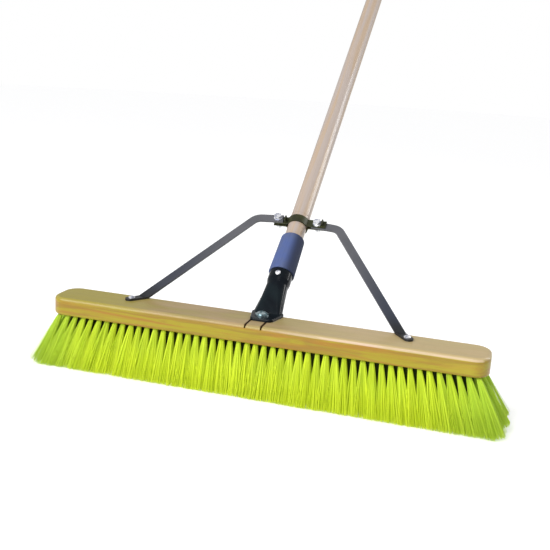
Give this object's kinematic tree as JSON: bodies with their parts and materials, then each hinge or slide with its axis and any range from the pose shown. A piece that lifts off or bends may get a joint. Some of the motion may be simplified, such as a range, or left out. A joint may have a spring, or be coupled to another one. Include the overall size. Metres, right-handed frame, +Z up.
{
  "type": "push broom",
  "caption": "Push broom: wooden block with rows of flared lime bristles, leaning wooden handle in a socket bracket, and two flat steel braces clamped to the handle.",
  "frame": {"origin": "middle of the flat sweeping plane at the bristle tips, under the middle of the block", "axes": "+X along the block, +Y to the back where the handle leans, +Z up"},
  "size_m": [0.6756, 1.3223, 1.0557],
  "materials": {
    "lacquered_hardwood": "clear lacquer",
    "handle_wood": "clear lacquer",
    "gloss_black": "gloss enamel",
    "slate_sleeve": "matte",
    "dark_clamp_steel": "satin black",
    "grey_powder_coat": "powder coat",
    "staple_wire": "drawn wire",
    "blue_zinc": "blue zinc plate",
    "bright_zinc": "bright zinc plate",
    "lime_bristle": "flagged polypropylene filament"
  },
  "bodies": {
    "root": {"block": "lacquered_hardwood", "brace_left": "grey_powder_coat", "brace_right": "grey_powder_coat", "brace_screw_left": "bright_zinc", "brace_screw_right": "bright_zinc", "bristle_row_1": "lime_bristle", "bristle_row_2": "lime_bristle", "bristle_row_3": "lime_bristle", "bristle_row_4": "lime_bristle", "bristle_row_5": "lime_bristle", "clamp_bolt_left": "bright_zinc", "clamp_bolt_right": "bright_zinc", "clamp_front_saddle": "dark_clamp_steel", "clamp_nut_left": "bright_zinc", "clamp_nut_right": "bright_zinc", "clamp_rear_saddle": "dark_clamp_steel", "clamp_spacer": "dark_clamp_steel", "clamp_washer_left": "bright_zinc", "clamp_washer_right": "bright_zinc", "foot_bolt": "blue_zinc", "foot_washer": "blue_zinc", "handle": "handle_wood", "handle_screw": "bright_zinc", "socket_bracket": "gloss_black", "socket_sleeve": "slate_sleeve", "tuft_staples": "staple_wire"}
  },
  "joints": []
}
